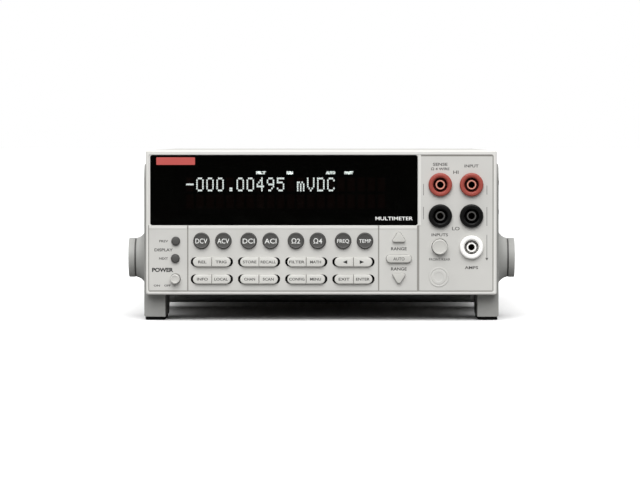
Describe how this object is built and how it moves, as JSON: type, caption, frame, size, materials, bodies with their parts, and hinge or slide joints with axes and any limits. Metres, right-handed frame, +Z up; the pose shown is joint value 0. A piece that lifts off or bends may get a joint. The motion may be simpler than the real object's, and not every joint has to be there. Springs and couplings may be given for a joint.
{
  "type": "bench multimeter",
  "caption": "Half-rack bench multimeter with a wide dark display window, a key panel, front input jacks, a light grey metal case and a folding carrying handle.",
  "frame": {"origin": "centre of the bounding box's bottom face: on the surface the meter stands on, midway between the ears and midway between the front buttons and the rear bezel", "axes": "+Z up, +X to the right seen from the front, +Y from the front panel to the rear panel, so the front panel faces -Y"},
  "size_m": [0.2396, 0.37, 0.104],
  "materials": {
    "bezel_plastic": "moulded, fine texture, warm white",
    "overlay_print": "printed light grey overlay film",
    "window_acrylic": "polished smoked acrylic",
    "display_glow": "glowing dots behind the window",
    "tube_glass": "dark glass",
    "board": "solder resist on fibreglass",
    "silicone": "matt silicone",
    "dark_key": "satin dark grey",
    "light_key": "satin light grey",
    "sheet_steel": "plated sheet",
    "painted_case": "textured light grey paint",
    "ear_plastic": "moulded grey, fine texture",
    "rubber": "matt black",
    "red_jack": "moulded red",
    "black_jack": "moulded black",
    "white_jack": "moulded white",
    "black_plastic": "moulded black",
    "transformer_iron": "varnished laminations",
    "contact_metal": "plated contacts",
    "screw_steel": "bright zinc",
    "badge_red": "plain red label",
    "ink_dark": "dark printing ink",
    "ink_white": "white printing ink"
  },
  "bodies": {
    "meter": {"cal_port_plug": "light_key", "case_cover": "painted_case", "chassis": "sheet_steel", "display_board": "board", "display_lens": "window_acrylic", "display_tube": "tube_glass", "fan_housing": "black_plastic", "front_bezel": "bezel_plastic", "front_foot_pad_left": "rubber", "front_foot_pad_right": "rubber", "gpib_connector": "sheet_steel", "jack_input_hi": "red_jack", "jack_input_lo": "black_jack", "jack_sense_hi": "red_jack", "jack_sense_lo": "black_jack", "keypad_mat": "silicone", "main_board": "board", "mounting_ear_left": "ear_plastic", "mounting_ear_right": "ear_plastic", "power_inlet": "black_plastic", "rear_bezel": "ear_plastic", "rear_foot_left": "rubber", "rear_foot_right": "rubber", "rear_jack_block": "black_plastic", "transformer": "transformer_iron"},
    "key_dcv": {"key_dcv": "dark_key"},
    "key_acv": {"key_acv": "dark_key"},
    "key_dci": {"key_dci": "dark_key"},
    "key_aci": {"key_aci": "dark_key"},
    "key_ohm2": {"key_ohm2": "dark_key"},
    "key_ohm4": {"key_ohm4": "dark_key"},
    "key_freq": {"key_freq": "dark_key"},
    "key_temp": {"key_temp": "dark_key"},
    "key_rel": {"key_rel": "light_key"},
    "key_trig": {"key_trig": "light_key"},
    "key_store": {"key_store": "light_key"},
    "key_recall": {"key_recall": "light_key"},
    "key_filter": {"key_filter": "light_key"},
    "key_math": {"key_math": "light_key"},
    "key_left": {"key_left": "light_key"},
    "key_right": {"key_right": "light_key"},
    "key_info": {"key_info": "light_key"},
    "key_local": {"key_local": "light_key"},
    "key_chan": {"key_chan": "light_key"},
    "key_scan": {"key_scan": "light_key"},
    "key_config": {"key_config": "light_key"},
    "key_menu": {"key_menu": "light_key"},
    "key_exit": {"key_exit": "light_key"},
    "key_enter": {"key_enter": "light_key"},
    "key_range_up": {"key_range_up": "light_key"},
    "key_auto": {"key_auto": "light_key"},
    "key_range_down": {"key_range_down": "light_key"},
    "key_prev": {"key_prev": "dark_key"},
    "key_next": {"key_next": "dark_key"},
    "power_button": {"power_button": "light_key"},
    "input_switch_button": {"input_switch_button": "light_key"},
    "carry_handle": {"carry_handle": "ear_plastic"},
    "fan_rotor": {"fan_rotor": "black_plastic"},
    "fuse_drawer": {"fuse_drawer": "black_plastic"},
    "amps_fuse_jack": {"amps_fuse_jack": "white_jack"}
  },
  "joints": [
    {"name": "power_button_press", "type": "slide", "parent": "meter", "child": "power_button", "axis": [0, 1, 0], "range_m": [0, 0.003], "stiffness_N_per_m": 500},
    {"name": "input_switch_button_press", "type": "slide", "parent": "meter", "child": "input_switch_button", "axis": [0, 1, 0], "range_m": [0, 0.003], "stiffness_N_per_m": 500},
    {"name": "handle_swing", "type": "hinge", "parent": "meter", "child": "carry_handle", "pos_m": [0, -0.134, 0.0373], "axis": [-1, 0, 0], "range_deg": [0, 310]},
    {"name": "fan_spin", "type": "hinge", "parent": "meter", "child": "fan_rotor", "pos_m": [-0.026, 0.1602, 0.075], "axis": [0, 1, 0], "continuous": true},
    {"name": "fuse_drawer_pull", "type": "slide", "parent": "meter", "child": "fuse_drawer", "axis": [0, 1, 0], "range_m": [0, 0.0205]},
    {"name": "amps_fuse_turn", "type": "hinge", "parent": "meter", "child": "amps_fuse_jack", "pos_m": [0.09155, -0.181, 0.045], "axis": [0, -1, 0], "range_deg": [0, 90]},
    {"name": "key_dcv_press", "type": "slide", "parent": "meter", "child": "key_dcv", "axis": [0, 1, 0], "range_m": [0, 0.001], "stiffness_N_per_m": 800},
    {"name": "key_acv_press", "type": "slide", "parent": "meter", "child": "key_acv", "axis": [0, 1, 0], "range_m": [0, 0.001], "stiffness_N_per_m": 800},
    {"name": "key_dci_press", "type": "slide", "parent": "meter", "child": "key_dci", "axis": [0, 1, 0], "range_m": [0, 0.001], "stiffness_N_per_m": 800},
    {"name": "key_aci_press", "type": "slide", "parent": "meter", "child": "key_aci", "axis": [0, 1, 0], "range_m": [0, 0.001], "stiffness_N_per_m": 800},
    {"name": "key_ohm2_press", "type": "slide", "parent": "meter", "child": "key_ohm2", "axis": [0, 1, 0], "range_m": [0, 0.001], "stiffness_N_per_m": 800},
    {"name": "key_ohm4_press", "type": "slide", "parent": "meter", "child": "key_ohm4", "axis": [0, 1, 0], "range_m": [0, 0.001], "stiffness_N_per_m": 800},
    {"name": "key_freq_press", "type": "slide", "parent": "meter", "child": "key_freq", "axis": [0, 1, 0], "range_m": [0, 0.001], "stiffness_N_per_m": 800},
    {"name": "key_temp_press", "type": "slide", "parent": "meter", "child": "key_temp", "axis": [0, 1, 0], "range_m": [0, 0.001], "stiffness_N_per_m": 800},
    {"name": "key_rel_press", "type": "slide", "parent": "meter", "child": "key_rel", "axis": [0, 1, 0], "range_m": [0, 0.001], "stiffness_N_per_m": 800},
    {"name": "key_trig_press", "type": "slide", "parent": "meter", "child": "key_trig", "axis": [0, 1, 0], "range_m": [0, 0.001], "stiffness_N_per_m": 800},
    {"name": "key_store_press", "type": "slide", "parent": "meter", "child": "key_store", "axis": [0, 1, 0], "range_m": [0, 0.001], "stiffness_N_per_m": 800},
    {"name": "key_recall_press", "type": "slide", "parent": "meter", "child": "key_recall", "axis": [0, 1, 0], "range_m": [0, 0.001], "stiffness_N_per_m": 800},
    {"name": "key_filter_press", "type": "slide", "parent": "meter", "child": "key_filter", "axis": [0, 1, 0], "range_m": [0, 0.001], "stiffness_N_per_m": 800},
    {"name": "key_math_press", "type": "slide", "parent": "meter", "child": "key_math", "axis": [0, 1, 0], "range_m": [0, 0.001], "stiffness_N_per_m": 800},
    {"name": "key_left_press", "type": "slide", "parent": "meter", "child": "key_left", "axis": [0, 1, 0], "range_m": [0, 0.001], "stiffness_N_per_m": 800},
    {"name": "key_right_press", "type": "slide", "parent": "meter", "child": "key_right", "axis": [0, 1, 0], "range_m": [0, 0.001], "stiffness_N_per_m": 800},
    {"name": "key_info_press", "type": "slide", "parent": "meter", "child": "key_info", "axis": [0, 1, 0], "range_m": [0, 0.001], "stiffness_N_per_m": 800},
    {"name": "key_local_press", "type": "slide", "parent": "meter", "child": "key_local", "axis": [0, 1, 0], "range_m": [0, 0.001], "stiffness_N_per_m": 800},
    {"name": "key_chan_press", "type": "slide", "parent": "meter", "child": "key_chan", "axis": [0, 1, 0], "range_m": [0, 0.001], "stiffness_N_per_m": 800},
    {"name": "key_scan_press", "type": "slide", "parent": "meter", "child": "key_scan", "axis": [0, 1, 0], "range_m": [0, 0.001], "stiffness_N_per_m": 800},
    {"name": "key_config_press", "type": "slide", "parent": "meter", "child": "key_config", "axis": [0, 1, 0], "range_m": [0, 0.001], "stiffness_N_per_m": 800},
    {"name": "key_menu_press", "type": "slide", "parent": "meter", "child": "key_menu", "axis": [0, 1, 0], "range_m": [0, 0.001], "stiffness_N_per_m": 800},
    {"name": "key_exit_press", "type": "slide", "parent": "meter", "child": "key_exit", "axis": [0, 1, 0], "range_m": [0, 0.001], "stiffness_N_per_m": 800},
    {"name": "key_enter_press", "type": "slide", "parent": "meter", "child": "key_enter", "axis": [0, 1, 0], "range_m": [0, 0.001], "stiffness_N_per_m": 800},
    {"name": "key_range_up_press", "type": "slide", "parent": "meter", "child": "key_range_up", "axis": [0, 1, 0], "range_m": [0, 0.001], "stiffness_N_per_m": 800},
    {"name": "key_auto_press", "type": "slide", "parent": "meter", "child": "key_auto", "axis": [0, 1, 0], "range_m": [0, 0.001], "stiffness_N_per_m": 800},
    {"name": "key_range_down_press", "type": "slide", "parent": "meter", "child": "key_range_down", "axis": [0, 1, 0], "range_m": [0, 0.001], "stiffness_N_per_m": 800},
    {"name": "key_prev_press", "type": "slide", "parent": "meter", "child": "key_prev", "axis": [0, 1, 0], "range_m": [0, 0.001], "stiffness_N_per_m": 800},
    {"name": "key_next_press", "type": "slide", "parent": "meter", "child": "key_next", "axis": [0, 1, 0], "range_m": [0, 0.001], "stiffness_N_per_m": 800}
  ]
}
